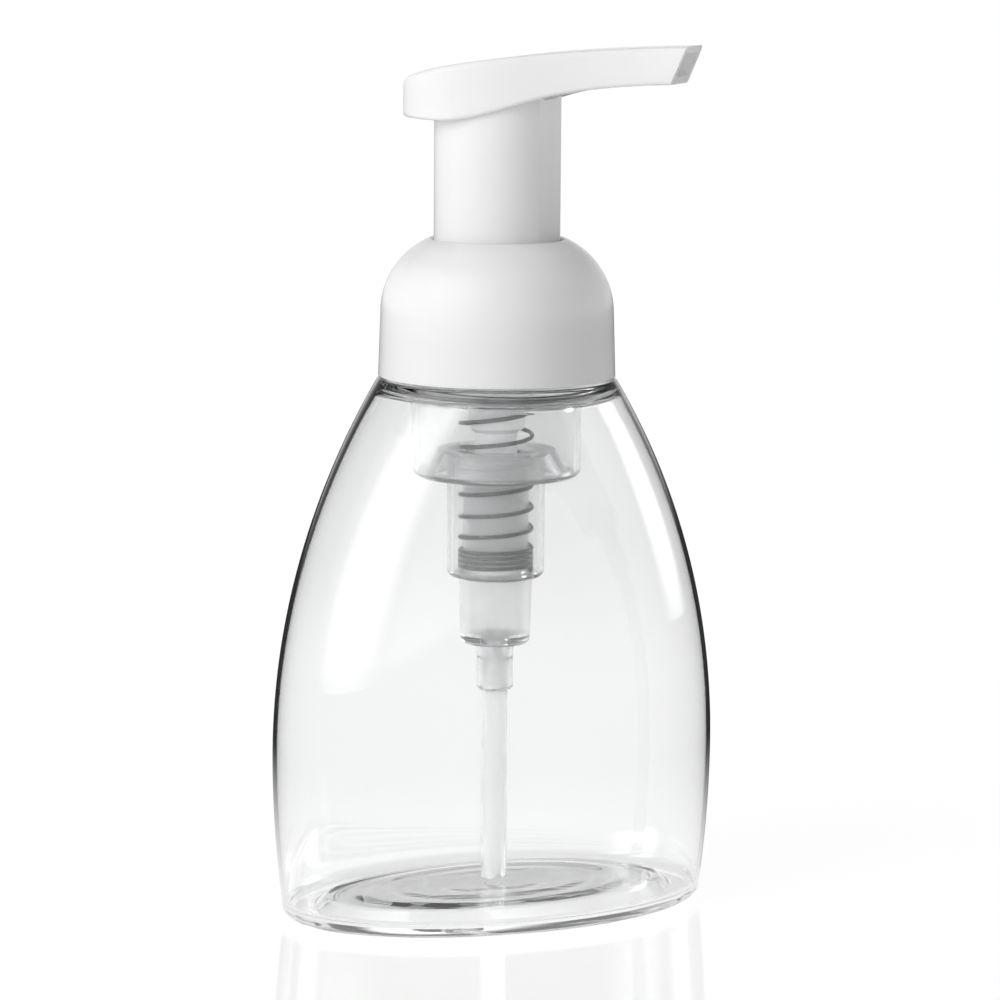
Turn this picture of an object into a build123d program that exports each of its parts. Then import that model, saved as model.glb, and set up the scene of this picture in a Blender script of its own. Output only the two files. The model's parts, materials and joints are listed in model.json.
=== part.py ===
from build123d import *
import math
import os

os.makedirs("parts", exist_ok=True)

# All sizes are millimetres. The bottle stands on z = 0 and its long axis lies along X.

# Bottle body: an oval that turns into a circle at the shoulder
body_half_width = 43.2
body_half_depth = 27.2
body_widest_z = 30.0
base_half_width = 41.0
base_half_depth = 25.9
base_edge_radius = 2.0
shoulder_z = 100.0
shoulder_edge_radius = 0.8
lower_section_count = 3
upper_section_count = 6

# Bottle walls and base
body_wall = 0.8
shoulder_wall = 1.5
shoulder_roof = 1.9
inner_shoulder_radius = 3.0
floor_wall = 1.8
inner_floor_radius = 2.0
foot_width = 5.0
push_up_depth = 2.2
push_up_slope = 3.0
gate_mark_radius = 1.6
gate_mark_height = 0.5

# Neck finish and its thread
neck_radius = 18.7
neck_wall = 1.8
neck_height = 10.2
thread_pitch = 4.233
thread_turns = 1.1
thread_depth = 1.3
thread_root_width = 2.0
thread_crest_width = 1.0
thread_rise = 2.6
thread_start_angle = 30.0
thread_root_sink = 0.3
thread_clearance = 0.35

# Screw collar
collar_wall = 1.65
collar_draft = 0.4
collar_shoulder_gap = 0.4
collar_dome_radius = 15.0
dome_below_flange_top = 0.4
collar_hole_clearance = 0.45
collar_lip_depth = 3.2
collar_lip_wall = 1.2
collar_rim_radius = 0.4
clamp_rib_wall = 1.2
clamp_rib_inset = 1.8

# Clamped stack on the neck
gasket_thickness = 1.0
gasket_width = 2.0
flange_thickness = 1.2
flange_overhang = 0.6
cover_thickness = 1.0
cover_skirt_depth = 3.6
cover_fit = 0.05

# Pump housing: air cylinder, spring chamber, liquid cylinder and tube socket
housing_wall = 1.2
housing_neck_gap = 1.3
air_end_gap = 2.8
cup_corner_radius = 1.8
cone_height = 5.3
cone_gutter = 1.2
cone_lean = 2.3
spring_chamber_length = 18.95
chamber_corner_radius = 1.5
bore_step_width = 0.4
liquid_cylinder_length = 12.6
liquid_tip_wall = 1.4
liquid_cylinder_draft = 0.5
liquid_tip_corner_radius = 1.0
liquid_floor_thickness = 2.1
chimney_wall = 0.7
chimney_top_below_cone = 0.9
socket_length = 8.85
socket_depth = 5.9
socket_wall = 1.0
socket_chamfer = 0.5
vent_radius = 0.5

# Inlet valve in the floor of the liquid cylinder
inlet_ball_radius = 1.5
inlet_hole_radius = 1.2
inlet_seat_height = 0.5
inlet_chamber_clearance = 0.3
cage_thickness = 0.8
cage_rim = 1.0
cage_bar_width = 0.7
cage_fit = 0.02
ball_seat_gap = 0.03

# Dip tube
dip_tube_radius = 2.43
dip_tube_wall = 0.7
dip_tube_fit = 0.03
dip_tube_floor_gap = 1.0
dip_tube_notch = 1.6

# Plunger: stem, pistons and valves. The stroke is the travel of the head.
stroke = 16.0
stem_radius = 5.2
stem_wall = 1.6
stem_clearance = 0.2
stem_lower_wall = 1.7
stem_step_height = 1.0
stem_step_clearance = 0.5
stem_flange_width = 1.4
stem_flange_thickness = 0.8
stem_top_above_flange = 7.9
piston_stop_width = 0.7
piston_stop_thickness = 1.0
air_groove_width = 1.2
air_groove_depth = 0.6
air_groove_overrun = 0.6
air_port_radius = 0.45
air_port_count = 4

# Air piston and its intake valve
air_lip_clearance = 0.06
air_ring_height = 7.0
air_ring_wall = 1.1
air_ring_waist = 0.4
air_ring_lip_height = 1.4
air_ring_top_gap = 0.2
air_web_thickness = 1.2
air_web_height = 2.5
air_hub_wall = 2.0
air_hub_drop = 1.0
air_hub_rise = 2.1
air_hub_fit = 0.02
intake_hole_radius = 0.8
intake_hole_count = 6
intake_circle_radius = 9.4
air_valve_width = 4.2
air_valve_thickness = 0.5
air_valve_hub_fit = 0.1
air_valve_web_gap = 0.02

# Liquid piston
liquid_lip_clearance = 0.05
liquid_piston_length = 4.4
liquid_piston_wall = 1.05
liquid_piston_waist = 0.35
liquid_piston_lip_height = 1.3
liquid_piston_foot = 0.8
liquid_piston_fit = 0.02
liquid_piston_end_gap = 0.6
liquid_bore_margin = 0.2

# Outlet valve in the stem
outlet_ball_radius = 2.6
outlet_ball_lift = 1.4
outlet_lug_width = 0.9
outlet_lug_height = 0.8
outlet_lug_reach = 1.5
outlet_lug_count = 3
lug_root_sink = 0.3

# Return spring
spring_wire = 0.8
spring_inner_clearance = 0.15
spring_pitch = 4.55
spring_dead_turns = 4
spring_start_turn = 0.878
spring_wire_gap = 0.02

# Mesh cartridge that turns the mixture into foam
cartridge_length = 11.2
cartridge_wall = 1.2
cartridge_fit = 0.05
cartridge_stem_gap = 0.1
screen_thickness = 0.3
screen_hole_radius = 0.35
screen_hole_pitch = 1.0
screen_hole_reach = 3.4

# Pump head: skirt with a flat on the spout side, and a flat-topped spout
head_turn = -43.3
skirt_radius = 11.8
skirt_flat_distance = 10.17
skirt_corner_radius = 0.5
skirt_wall = 1.3
skirt_bottom_rise = 1.0
head_tube_wall = 1.6
head_tube_fit = 0.05
head_tube_gap = 0.1
foam_bore_radius = 4.0
head_height = 161.8
head_crown_drop = 3.1
head_rear_high_drop = 7.5
head_rear_low_drop = 13.7
head_under_drop = 14.0
head_under_reach = -8.0
head_rear_slope = 0.5
head_rear_radius = 13.4
head_rear_centre = -4.4
head_waist_reach = 12.5
head_waist_half_width = 9.8
spout_reach = 37.6
spout_tip_slant = 3.0
spout_root_drop = 9.6
spout_middle_reach = 22.0
spout_middle_drop = 7.8
spout_tip_drop = 6.9
spout_slope = 0.04
spout_side_slope = 0.05
spout_half_width = 5.0
spout_wall = 1.2
spout_floor_wall = 1.4
spout_mouth_height = 4.3
spout_duct_height = 4.2
head_top_radius = 1.2
head_under_radius = 0.6

# Small overlap that makes a cut pass clean through a face, and angles
cut_margin = 1.0
edge_tolerance = 0.01
full_turn = 360.0
right_angle = 90.0
level_limit = 45.0

# Radii worked out from the sizes above
neck_bore_radius = neck_radius - neck_wall
thread_crest_radius = neck_radius + thread_depth
collar_bore_radius = thread_crest_radius + thread_clearance
collar_thread_radius = neck_radius + thread_clearance
collar_radius = collar_bore_radius + collar_wall
collar_top_radius = collar_radius - collar_draft
dome_centre_radius = collar_top_radius - collar_dome_radius
collar_hole_radius = skirt_radius + collar_hole_clearance
shoulder_radius = collar_radius
flange_radius = neck_radius + flange_overhang
cup_radius = neck_bore_radius - housing_neck_gap
air_bore_radius = cup_radius - housing_wall
cone_base_radius = air_bore_radius - cone_gutter
cone_top_radius = cone_base_radius - cone_lean
chimney_bore_radius = stem_radius + stem_clearance
chimney_radius = chimney_bore_radius + chimney_wall
liquid_bore_radius = chimney_bore_radius - bore_step_width
liquid_cylinder_tip_radius = liquid_bore_radius + liquid_tip_wall
liquid_cylinder_top_radius = liquid_cylinder_tip_radius + liquid_cylinder_draft
spring_inner_radius = chimney_radius + spring_inner_clearance
spring_mean_radius = spring_inner_radius + spring_wire / 2
spring_bore_radius = spring_inner_radius + 2 * spring_wire
chamber_radius = spring_bore_radius + housing_wall
socket_bore_radius = dip_tube_radius + dip_tube_fit
socket_radius = dip_tube_radius + socket_wall
inlet_chamber_radius = inlet_ball_radius + inlet_chamber_clearance
cage_radius = inlet_chamber_radius + cage_rim
stem_bore_radius = stem_radius - stem_wall
stem_flange_radius = stem_radius + stem_flange_width
liquid_lip_radius = liquid_bore_radius - liquid_lip_clearance
stem_lower_radius = liquid_lip_radius - liquid_piston_wall
stem_lower_bore_radius = stem_lower_radius - stem_lower_wall
piston_stop_radius = stem_lower_radius + piston_stop_width
air_hub_radius = stem_radius + air_hub_wall
air_ring_radius = air_bore_radius - air_lip_clearance
head_bore_radius = stem_radius + head_tube_fit
head_tube_radius = head_bore_radius + head_tube_wall
cartridge_radius = head_bore_radius - cartridge_fit


def dome_height(radius, dome_radius):
    """Height of the collar's dome, or of its inside, at one radius."""
    return dome_z + math.sqrt(dome_radius**2 - (radius - dome_centre_radius) ** 2)


# Heights of the fixed pieces, from the shoulder up and then down the pump
lip_z = shoulder_z + neck_height
flange_bottom_z = lip_z + gasket_thickness
housing_top_z = flange_bottom_z + flange_thickness
cover_top_z = housing_top_z + cover_thickness
cover_bottom_z = housing_top_z - cover_skirt_depth
collar_bottom_z = shoulder_z + collar_shoulder_gap
dome_z = housing_top_z - dome_below_flange_top
collar_crest_z = dome_height(collar_hole_radius, collar_dome_radius)
air_ring_top_z = cover_bottom_z - air_ring_top_gap
air_ring_bottom_z = air_ring_top_z - air_ring_height
cup_floor_z = air_ring_bottom_z - stroke - air_end_gap
cup_bottom_z = cup_floor_z - housing_wall
cone_top_z = cup_bottom_z + cone_height
chimney_top_z = cone_top_z - chimney_top_below_cone
chamber_bottom_z = cup_bottom_z - spring_chamber_length
chamber_floor_z = chamber_bottom_z + housing_wall
liquid_bottom_z = chamber_bottom_z - liquid_cylinder_length
liquid_floor_z = liquid_bottom_z + liquid_floor_thickness
socket_bottom_z = liquid_bottom_z - socket_length
tube_stop_z = socket_bottom_z + socket_depth
inlet_seat_z = tube_stop_z + inlet_seat_height
cage_bottom_z = liquid_floor_z - cage_thickness
inner_floor_z = floor_wall + push_up_depth
dip_tube_bottom_z = inner_floor_z + dip_tube_floor_gap

# Heights of the plunger and the head at rest
air_web_bottom_z = air_ring_bottom_z + air_web_height
air_web_top_z = air_web_bottom_z + air_web_thickness
air_hub_bottom_z = air_web_bottom_z - air_hub_drop
air_hub_top_z = air_web_top_z + air_hub_rise
stem_flange_top_z = air_hub_top_z + stem_flange_thickness
stem_top_z = stem_flange_top_z + stem_top_above_flange
stem_bottom_z = liquid_floor_z + stroke + liquid_piston_end_gap + liquid_piston_foot
liquid_piston_top_z = stem_bottom_z - liquid_piston_foot + liquid_piston_length
bore_step_z = liquid_piston_top_z + liquid_bore_margin
stem_step_z = bore_step_z + stroke + stem_step_clearance + stem_step_height
head_tube_bottom_z = stem_flange_top_z + head_tube_gap
cartridge_bottom_z = stem_top_z + cartridge_stem_gap
cartridge_top_z = cartridge_bottom_z + 2 * screen_thickness + cartridge_length
skirt_bottom_z = cover_bottom_z + skirt_bottom_rise
head_crown_z = head_height - head_crown_drop
head_rear_high = head_height - head_rear_high_drop
head_rear_low = head_height - head_rear_low_drop
head_under_z = head_height - head_under_drop
spout_root_low = head_height - spout_root_drop
spout_middle_low = head_height - spout_middle_drop
spout_tip_low = head_height - spout_tip_drop


def save(shape, node):
    export_step(shape, "parts/" + node + ".step")


def lathe(*points):
    """Solid turned about Z from a closed outline of (radius, height) points."""
    outline = Polyline(*[(radius, 0, height) for radius, height in points], close=True)
    return revolve(make_face(outline), Axis.Z)


def tube(inner_radius, outer_radius, bottom_z, top_z):
    """Plain ring or tube about Z."""
    return lathe(
        (inner_radius, bottom_z),
        (outer_radius, bottom_z),
        (outer_radius, top_z),
        (inner_radius, top_z),
    )


def rod(radius, bottom_z, top_z):
    """Plain cylinder about Z."""
    height = top_z - bottom_z
    return Pos(0, 0, bottom_z) * Cylinder(radius, height, align=(Align.CENTER, Align.CENTER, Align.MIN))


def circle_edges(shape, radius, height):
    """Round edges of a turned solid that lie at one radius and height."""
    found = []
    for edge in shape.edges().filter_by(GeomType.CIRCLE):
        same_radius = abs(edge.radius - radius) < edge_tolerance
        same_height = abs(edge.arc_center.Z - height) < edge_tolerance
        if same_radius and same_height:
            found.append(edge)
    return found


def arc_drop(rise, full_rise, full_drop):
    """Fall of a circular arc that starts upright and drops full_drop over full_rise."""
    curvature = 2 * full_drop / (full_rise**2 + full_drop**2)
    return curvature * rise**2 / (1 + math.sqrt(1 - (curvature * rise) ** 2))


def body_half_sizes(z):
    """Half width and half depth of the bottle's outside at one height."""
    if z < body_widest_z:
        rise = body_widest_z - z
        width = body_half_width - arc_drop(rise, body_widest_z, body_half_width - base_half_width)
        depth = body_half_depth - arc_drop(rise, body_widest_z, body_half_depth - base_half_depth)
        return width, depth
    rise = z - body_widest_z
    full_rise = shoulder_z - body_widest_z
    width = body_half_width - arc_drop(rise, full_rise, body_half_width - shoulder_radius)
    depth = body_half_depth - arc_drop(rise, full_rise, body_half_depth - shoulder_radius)
    return width, depth


def wall_at(z):
    """The blown wall is even low down and thickens towards the shoulder."""
    share = max(0.0, z - body_widest_z) / (shoulder_z - body_widest_z)
    return body_wall + (shoulder_wall - body_wall) * share**2


def section_heights(bottom_z, top_z):
    """Heights of the loft sections, closer together in the upper curve."""
    lower_span = body_widest_z - bottom_z
    upper_span = top_z - body_widest_z
    heights = []
    for i in range(lower_section_count):
        heights.append(bottom_z + lower_span * i / lower_section_count)
    for i in range(upper_section_count + 1):
        heights.append(body_widest_z + upper_span * math.sin(math.pi / 2 * i / upper_section_count))
    return heights


def oval(half_width, half_depth, z):
    return Pos(0, 0, z) * Ellipse(half_width, half_depth)


def base_oval(inset, z):
    return oval(base_half_width - inset, base_half_depth - inset, z)


def thread_rib(root_radius, crest_radius, start_z):
    """One helical rib; a crest radius below the root radius gives an inner thread."""
    sink = math.copysign(thread_root_sink, root_radius - crest_radius)
    path = Helix(thread_pitch, thread_pitch * thread_turns, root_radius)
    outline = Polyline(
        (sink, -thread_root_width / 2),
        (crest_radius - root_radius, -thread_crest_width / 2),
        (crest_radius - root_radius, thread_crest_width / 2),
        (sink, thread_root_width / 2),
        close=True,
    )
    section = Plane(path @ 0, x_dir=(1, 0, 0), z_dir=path % 0) * make_face(outline)
    rib = sweep(section, path=path, is_frenet=True)
    return Pos(0, 0, start_z) * Rot(0, 0, thread_start_angle) * rib


def bottle():
    outside = loft([oval(*body_half_sizes(z), z) for z in section_heights(0, shoulder_z)])
    outside = fillet(outside.edges().group_by(Axis.Z)[0], base_edge_radius)
    outside = fillet(outside.edges().group_by(Axis.Z)[-1], shoulder_edge_radius)
    inside_sections = []
    for z in section_heights(floor_wall, shoulder_z - shoulder_roof):
        half_width, half_depth = body_half_sizes(z)
        inside_sections.append(oval(half_width - wall_at(z), half_depth - wall_at(z), z))
    inside = loft(inside_sections)
    inside = fillet(inside.edges().group_by(Axis.Z)[-1], inner_shoulder_radius)
    inside = fillet(inside.edges().group_by(Axis.Z)[0], inner_floor_radius)
    raised_floor = loft([
        base_oval(foot_width, 0),
        base_oval(foot_width, floor_wall),
        base_oval(foot_width + push_up_slope, inner_floor_z),
    ], ruled=True)
    push_up = loft([
        base_oval(foot_width + floor_wall - push_up_slope / 2, -cut_margin),
        base_oval(foot_width + floor_wall + push_up_slope, push_up_depth),
    ])
    gate_mark = rod(gate_mark_radius, push_up_depth - gate_mark_height, push_up_depth + gate_mark_height)
    neck = rod(neck_radius, shoulder_z - shoulder_roof / 2, lip_z)
    thread = thread_rib(neck_radius, thread_crest_radius, shoulder_z + thread_rise)
    shape = outside - inside + raised_floor - push_up + gate_mark + neck
    shape -= rod(neck_bore_radius, shoulder_z - shoulder_roof - cut_margin, lip_z + cut_margin)
    return shape + thread


def neck_gasket():
    return tube(neck_radius - gasket_width, neck_radius, lip_z, flange_bottom_z)


def domed_ring(inner_radius, low_radius, side_radius):
    """Ring with an upright bore, a drafted side and a domed shoulder."""
    dome_radius = side_radius - dome_centre_radius
    middle_radius = (inner_radius + side_radius) / 2
    crest = (inner_radius, 0, dome_height(inner_radius, dome_radius))
    side_top = (side_radius, 0, dome_z)
    sides = Polyline(crest, (inner_radius, 0, collar_bottom_z), (low_radius, 0, collar_bottom_z), side_top)
    dome = ThreePointArc(side_top, (middle_radius, 0, dome_height(middle_radius, dome_radius)), crest)
    return revolve(make_face(Curve() + [sides, dome]), Axis.Z)


def screw_collar():
    lip_radius = collar_hole_radius + collar_lip_wall
    shape = domed_ring(collar_hole_radius, collar_radius, collar_top_radius)
    shape = fillet(circle_edges(shape, collar_hole_radius, collar_crest_z), collar_rim_radius)
    shape -= domed_ring(lip_radius, collar_bore_radius, collar_bore_radius)
    shape -= rod(lip_radius, collar_bottom_z - cut_margin, collar_crest_z - collar_lip_depth)
    rib_radius = flange_radius - clamp_rib_inset
    rib_inner_radius = rib_radius - clamp_rib_wall
    dome_inside_z = dome_height(rib_inner_radius, collar_bore_radius - dome_centre_radius)
    dome_outside_z = dome_height(rib_radius, collar_dome_radius)
    shape += tube(rib_inner_radius, rib_radius, cover_top_z, (dome_inside_z + dome_outside_z) / 2)
    thread_z = shoulder_z + thread_rise + thread_pitch / 2
    return shape + thread_rib(collar_bore_radius, collar_thread_radius, thread_z)


def cylinder_cover():
    skirt_radius_outer = air_bore_radius - cover_fit
    flange_reach = flange_radius - clamp_rib_inset
    return lathe(
        (collar_hole_radius, cover_bottom_z),
        (skirt_radius_outer, cover_bottom_z),
        (skirt_radius_outer, housing_top_z),
        (flange_reach, housing_top_z),
        (flange_reach, cover_top_z),
        (collar_hole_radius, cover_top_z),
    )


def pump_housing():
    cone_slope = cone_lean / (cone_top_z - cup_floor_z)
    groove_top_z = cone_top_z - housing_wall
    groove_base_radius = cone_base_radius - housing_wall
    groove_top_radius = groove_base_radius - cone_slope * (groove_top_z - cup_bottom_z)
    seat_cone_top_z = inlet_seat_z + inlet_chamber_radius - inlet_hole_radius
    cage_recess_radius = cage_radius + cage_fit
    shape = lathe(
        (air_bore_radius, housing_top_z),
        (flange_radius, housing_top_z),
        (flange_radius, flange_bottom_z),
        (cup_radius, flange_bottom_z),
        (cup_radius, cup_bottom_z),
        (groove_base_radius, cup_bottom_z),
        (groove_top_radius, groove_top_z),
        (chamber_radius, groove_top_z),
        (chamber_radius, chamber_bottom_z),
        (liquid_cylinder_top_radius, chamber_bottom_z),
        (liquid_cylinder_tip_radius, liquid_bottom_z),
        (socket_radius, liquid_bottom_z),
        (socket_radius, socket_bottom_z + socket_chamfer),
        (socket_radius - socket_chamfer, socket_bottom_z),
        (socket_bore_radius, socket_bottom_z),
        (socket_bore_radius, tube_stop_z),
        (inlet_hole_radius, tube_stop_z),
        (inlet_hole_radius, inlet_seat_z),
        (inlet_chamber_radius, seat_cone_top_z),
        (inlet_chamber_radius, cage_bottom_z),
        (cage_recess_radius, cage_bottom_z),
        (cage_recess_radius, liquid_floor_z),
        (liquid_bore_radius, liquid_floor_z),
        (liquid_bore_radius, bore_step_z),
        (chimney_bore_radius, bore_step_z),
        (chimney_bore_radius, chimney_top_z),
        (chimney_radius, chimney_top_z),
        (chimney_radius, chamber_floor_z),
        (spring_bore_radius, chamber_floor_z),
        (spring_bore_radius, cone_top_z),
        (cone_top_radius, cone_top_z),
        (cone_base_radius, cup_floor_z),
        (air_bore_radius, cup_floor_z),
    )
    shape = fillet(circle_edges(shape, cup_radius, cup_bottom_z), cup_corner_radius)
    shape = fillet(circle_edges(shape, chamber_radius, chamber_bottom_z), chamber_corner_radius)
    tip_edges = circle_edges(shape, liquid_cylinder_tip_radius, liquid_bottom_z)
    shape = fillet(tip_edges, liquid_tip_corner_radius)
    vent_z = (air_ring_top_z + air_ring_bottom_z) / 2
    vent = Rot(0, right_angle, 0) * Cylinder(vent_radius, 2 * housing_wall)
    return shape - Pos(air_bore_radius + housing_wall / 2, 0, vent_z) * vent


def ball_at(radius, hole_radius, seat_z):
    """Ball that rests on the rim of its seat's hole."""
    centre_z = seat_z + math.sqrt(radius**2 - hole_radius**2) + ball_seat_gap
    return Pos(0, 0, centre_z) * Sphere(radius)


def ball_cage():
    ring = tube(inlet_chamber_radius, cage_radius, cage_bottom_z, liquid_floor_z)
    bar = Box(2 * cage_radius, cage_bar_width, cage_thickness)
    bars = Pos(0, 0, cage_bottom_z + cage_thickness / 2) * (bar + Rot(0, 0, right_angle) * bar)
    return ring + (bars & rod(cage_radius, cage_bottom_z, liquid_floor_z))


def dip_tube():
    shape = tube(dip_tube_radius - dip_tube_wall, dip_tube_radius, dip_tube_bottom_z, tube_stop_z)
    notch = Box(dip_tube_notch, 2 * dip_tube_radius + cut_margin, dip_tube_notch)
    return shape - Pos(0, 0, dip_tube_bottom_z) * Rot(0, right_angle / 2, 0) * notch


def piston_stem():
    outlet_seat_z = stem_step_z
    seat_cone_top_z = outlet_seat_z + stem_bore_radius - stem_lower_bore_radius
    shape = lathe(
        (stem_lower_bore_radius, stem_bottom_z),
        (stem_lower_radius, stem_bottom_z),
        (stem_lower_radius, liquid_piston_top_z),
        (piston_stop_radius, liquid_piston_top_z),
        (piston_stop_radius, liquid_piston_top_z + piston_stop_thickness),
        (stem_lower_radius, liquid_piston_top_z + piston_stop_thickness),
        (stem_lower_radius, stem_step_z - stem_step_height),
        (stem_radius, stem_step_z),
        (stem_radius, air_hub_top_z),
        (stem_flange_radius, air_hub_top_z),
        (stem_flange_radius, stem_flange_top_z),
        (stem_radius, stem_flange_top_z),
        (stem_radius, stem_top_z),
        (stem_bore_radius, stem_top_z),
        (stem_bore_radius, seat_cone_top_z),
        (stem_lower_bore_radius, outlet_seat_z),
    )
    groove_bottom_z = air_hub_bottom_z - air_groove_overrun
    groove_height = air_hub_top_z - groove_bottom_z
    groove = Pos(stem_radius, 0, groove_bottom_z + groove_height / 2)
    groove *= Box(2 * air_groove_depth, air_groove_width, groove_height)
    port = Pos(stem_radius - stem_wall / 2, 0, air_hub_top_z - air_groove_width)
    port *= Rot(0, right_angle, 0) * Cylinder(air_port_radius, 2 * stem_wall)
    for spot in PolarLocations(0, air_port_count):
        shape -= spot * groove
        shape -= spot * port
    ball_rise = math.sqrt(outlet_ball_radius**2 - stem_lower_bore_radius**2)
    lug_z = outlet_seat_z + ball_rise + outlet_ball_radius + outlet_ball_lift
    lug_length = outlet_lug_reach + lug_root_sink
    lug = Pos(stem_bore_radius - outlet_lug_reach + lug_length / 2, 0, lug_z + outlet_lug_height / 2)
    lug *= Box(lug_length, outlet_lug_width, outlet_lug_height)
    for spot in PolarLocations(0, outlet_lug_count):
        shape += spot * lug
    return shape


def air_piston():
    ring_inner = air_ring_radius - air_ring_wall
    waist = air_ring_radius - air_ring_waist
    shape = lathe(
        (stem_radius + air_hub_fit, air_hub_bottom_z),
        (air_hub_radius, air_hub_bottom_z),
        (air_hub_radius, air_web_bottom_z),
        (ring_inner, air_web_bottom_z),
        (ring_inner, air_ring_bottom_z),
        (air_ring_radius, air_ring_bottom_z),
        (air_ring_radius, air_ring_bottom_z + air_ring_lip_height),
        (waist, air_ring_bottom_z + air_ring_lip_height + air_ring_waist),
        (waist, air_ring_top_z - air_ring_lip_height - air_ring_waist),
        (air_ring_radius, air_ring_top_z - air_ring_lip_height),
        (air_ring_radius, air_ring_top_z),
        (ring_inner, air_ring_top_z),
        (ring_inner, air_web_top_z),
        (air_hub_radius, air_web_top_z),
        (air_hub_radius, air_hub_top_z),
        (stem_radius + air_hub_fit, air_hub_top_z),
    )
    hole = rod(intake_hole_radius, air_web_bottom_z - cut_margin, air_web_top_z + cut_margin)
    for spot in PolarLocations(intake_circle_radius, intake_hole_count):
        shape -= spot * hole
    return shape


def air_valve():
    inner = air_hub_radius + air_valve_hub_fit
    top_z = air_web_bottom_z - air_valve_web_gap
    return tube(inner, inner + air_valve_width, top_z - air_valve_thickness, top_z)


def liquid_piston():
    inner = stem_lower_radius + liquid_piston_fit
    waist = liquid_lip_radius - liquid_piston_waist
    bottom_z = stem_bottom_z - liquid_piston_foot
    return lathe(
        (stem_lower_bore_radius, bottom_z),
        (liquid_lip_radius, bottom_z),
        (liquid_lip_radius, bottom_z + liquid_piston_lip_height),
        (waist, bottom_z + liquid_piston_lip_height + liquid_piston_waist),
        (waist, liquid_piston_top_z - liquid_piston_lip_height - liquid_piston_waist),
        (liquid_lip_radius, liquid_piston_top_z - liquid_piston_lip_height),
        (liquid_lip_radius, liquid_piston_top_z),
        (inner, liquid_piston_top_z),
        (inner, stem_bottom_z),
        (stem_lower_bore_radius, stem_bottom_z),
    )


def coil(pitch, turns, start_z, start_turn):
    """Helix on the spring's mean radius, as edges of one turn or less."""
    edges = []
    for i in range(math.ceil(turns)):
        share = min(1, turns - i)
        edge = Helix(pitch, pitch * share, spring_mean_radius)
        edges.append(Pos(0, 0, start_z + pitch * i) * Rot(0, 0, full_turn * (start_turn + i)) * edge)
    return edges


def return_spring():
    """Closed coils at both ends and an even pitch between them."""
    dead_pitch = spring_wire + spring_wire_gap
    bottom_z = chamber_floor_z + spring_wire / 2 + spring_wire_gap
    dead_top_z = bottom_z + dead_pitch * spring_dead_turns
    closed_top_z = air_hub_bottom_z - spring_wire / 2 - spring_wire_gap
    closed_start_z = closed_top_z - dead_pitch
    active_turns = (closed_start_z - dead_top_z) / spring_pitch
    dead_coils = coil(dead_pitch, spring_dead_turns, bottom_z, 0)
    active_coils = coil(spring_pitch, active_turns, dead_top_z, spring_dead_turns)
    closed_coil = coil(dead_pitch, 1, closed_start_z, spring_dead_turns + active_turns)
    path = Wire(dead_coils + active_coils + closed_coil)
    section = Plane(path @ 0, z_dir=path % 0) * Circle(spring_wire / 2)
    spring = sweep(section, path=path, is_frenet=True, transition=Transition.ROUND)
    return spring.rotate(Axis.Z, full_turn * spring_start_turn)


def screen(bottom_z):
    """Round mesh disc with a square grid of holes."""
    shape = rod(cartridge_radius, bottom_z, bottom_z + screen_thickness)
    hole = rod(screen_hole_radius, bottom_z - cut_margin, bottom_z + screen_thickness + cut_margin)
    steps = int(screen_hole_reach / screen_hole_pitch)
    holes = []
    for i in range(-steps, steps + 1):
        for j in range(-steps, steps + 1):
            if math.hypot(i, j) * screen_hole_pitch <= screen_hole_reach:
                holes.append(Pos(i * screen_hole_pitch, j * screen_hole_pitch, 0) * hole)
    return shape - holes


def mesh_holder():
    bottom_z = cartridge_bottom_z + screen_thickness
    return tube(cartridge_radius - cartridge_wall, cartridge_radius, bottom_z, bottom_z + cartridge_length)


def flatted_round(radius, flat_distance, corner_radius):
    """Circle with one flat facing +X."""
    face = Circle(radius) - Pos(flat_distance + radius, 0) * Rectangle(2 * radius, 2 * radius)
    return fillet(face.vertices(), corner_radius)


def head_plan():
    """Outline of the head from above: round rear, sides drawn in to the spout."""
    far = spout_reach + cut_margin
    near_side = Spline(
        (head_rear_centre, -head_rear_radius),
        (head_waist_reach, -head_waist_half_width),
        (far, -spout_half_width),
        tangents=[(1, 0), (1, spout_side_slope)],
    )
    rear = ThreePointArc(
        (head_rear_centre, -head_rear_radius),
        (head_rear_centre - head_rear_radius, 0),
        (head_rear_centre, head_rear_radius),
    )
    tip = Line((far, -spout_half_width), (far, spout_half_width))
    return make_face(Curve() + [near_side, mirror(near_side, Plane.XZ), rear, tip])


def head_side():
    """Outline of the head from the side, in (reach along the spout, height)."""
    rear_reach = head_rear_centre - head_rear_radius - cut_margin
    top = Spline(
        (rear_reach, head_rear_high - cut_margin / 2),
        (0, head_crown_z),
        (spout_reach, head_height),
        tangents=[(1, head_rear_slope), (1, spout_slope)],
    )
    under = Spline(
        (head_under_reach, head_under_z),
        (skirt_radius, spout_root_low),
        (spout_middle_reach, spout_middle_low),
        (spout_reach - spout_tip_slant, spout_tip_low),
        tangents=[(1, 0), (1, spout_slope)],
    )
    heel = Line((rear_reach, head_rear_low), under @ 0)
    rear = Line(heel @ 0, top @ 0)
    tip = Line(under @ 1, top @ 1)
    return make_face(Curve() + [top, under, heel, rear, tip])


def head_wing():
    plan = Pos(0, 0, head_under_z - cut_margin) * head_plan()
    upright = extrude(plan, head_height - head_under_z + 2 * cut_margin)
    side = Plane.XZ * head_side()
    across = extrude(side, 2 * head_rear_radius, both=True)
    wing = upright & across
    return round_rim(round_rim(wing, 1, head_top_radius), -1, head_under_radius)


def round_rim(wing, way, radius):
    """Round the rim of the faces that look up (way 1) or down (way -1), up to the spout's tip."""
    steepness = math.cos(math.radians(level_limit))
    level_faces = [face for face in wing.faces() if face.normal_at().Z * way > steepness]
    rim = []
    for edge in wing.edges():
        owners = [face for face in level_faces if edge in face.edges()]
        if len(owners) == 1 and edge.center().X < spout_reach - spout_tip_slant - cut_margin:
            rim.append(edge)
    return fillet(rim, radius)


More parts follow.
